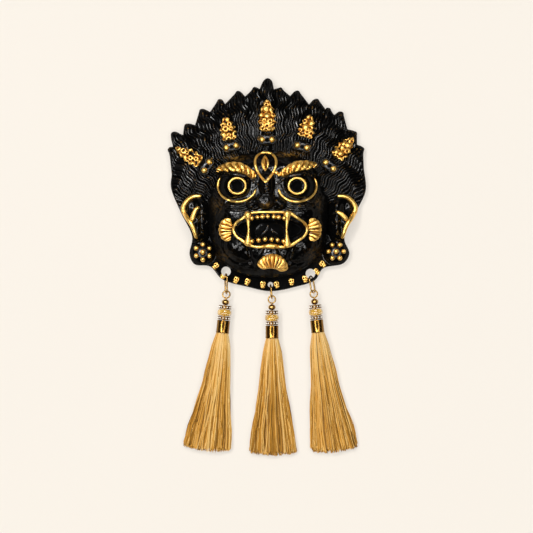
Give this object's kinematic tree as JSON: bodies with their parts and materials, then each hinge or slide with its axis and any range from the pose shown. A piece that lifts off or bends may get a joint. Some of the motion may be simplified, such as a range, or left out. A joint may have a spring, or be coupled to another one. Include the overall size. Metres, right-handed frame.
{
  "type": "kirtimukha wall mask",
  "caption": "Kirtimukha wall mask: a cast guardian face with fanned hair and a jewelled crown, lacquered black and gold, with silk tassels hung from its collar",
  "frame": {"origin": "on the table under the middle of the whole part, mask and tassels together, lying on its back", "axes": "+Z is the way the face looks, +Y runs from the tassels to the crown, +X is the viewer's right"},
  "size_m": [0.1112, 0.2108, 0.033],
  "materials": {
    "black_and_gold_lacquer": "glossy black paint on cast resin, raised carving rubbed with antique gold",
    "antique_brass": "aged brass wire and bead",
    "polished_brass": "polished brass",
    "champagne_crystal": "faceted champagne glass",
    "golden_silk": "straight silky threads"
  },
  "bodies": {
    "root": {"mask_casting": "black_and_gold_lacquer", "left_hanging_ring": "antique_brass", "left_eye_pin": "antique_brass", "left_ball_bead": "antique_brass", "left_upper_rondelle": "polished_brass", "left_crystal_bead": "champagne_crystal", "left_lower_rondelle": "polished_brass", "left_tassel_cap": "polished_brass", "left_silk_skirt": "golden_silk", "middle_hanging_ring": "antique_brass", "middle_eye_pin": "antique_brass", "middle_ball_bead": "antique_brass", "middle_upper_rondelle": "polished_brass", "middle_crystal_bead": "champagne_crystal", "middle_lower_rondelle": "polished_brass", "middle_tassel_cap": "polished_brass", "middle_silk_skirt": "golden_silk", "right_hanging_ring": "antique_brass", "right_eye_pin": "antique_brass", "right_ball_bead": "antique_brass", "right_upper_rondelle": "polished_brass", "right_crystal_bead": "champagne_crystal", "right_lower_rondelle": "polished_brass", "right_tassel_cap": "polished_brass", "right_silk_skirt": "golden_silk"}
  },
  "joints": []
}
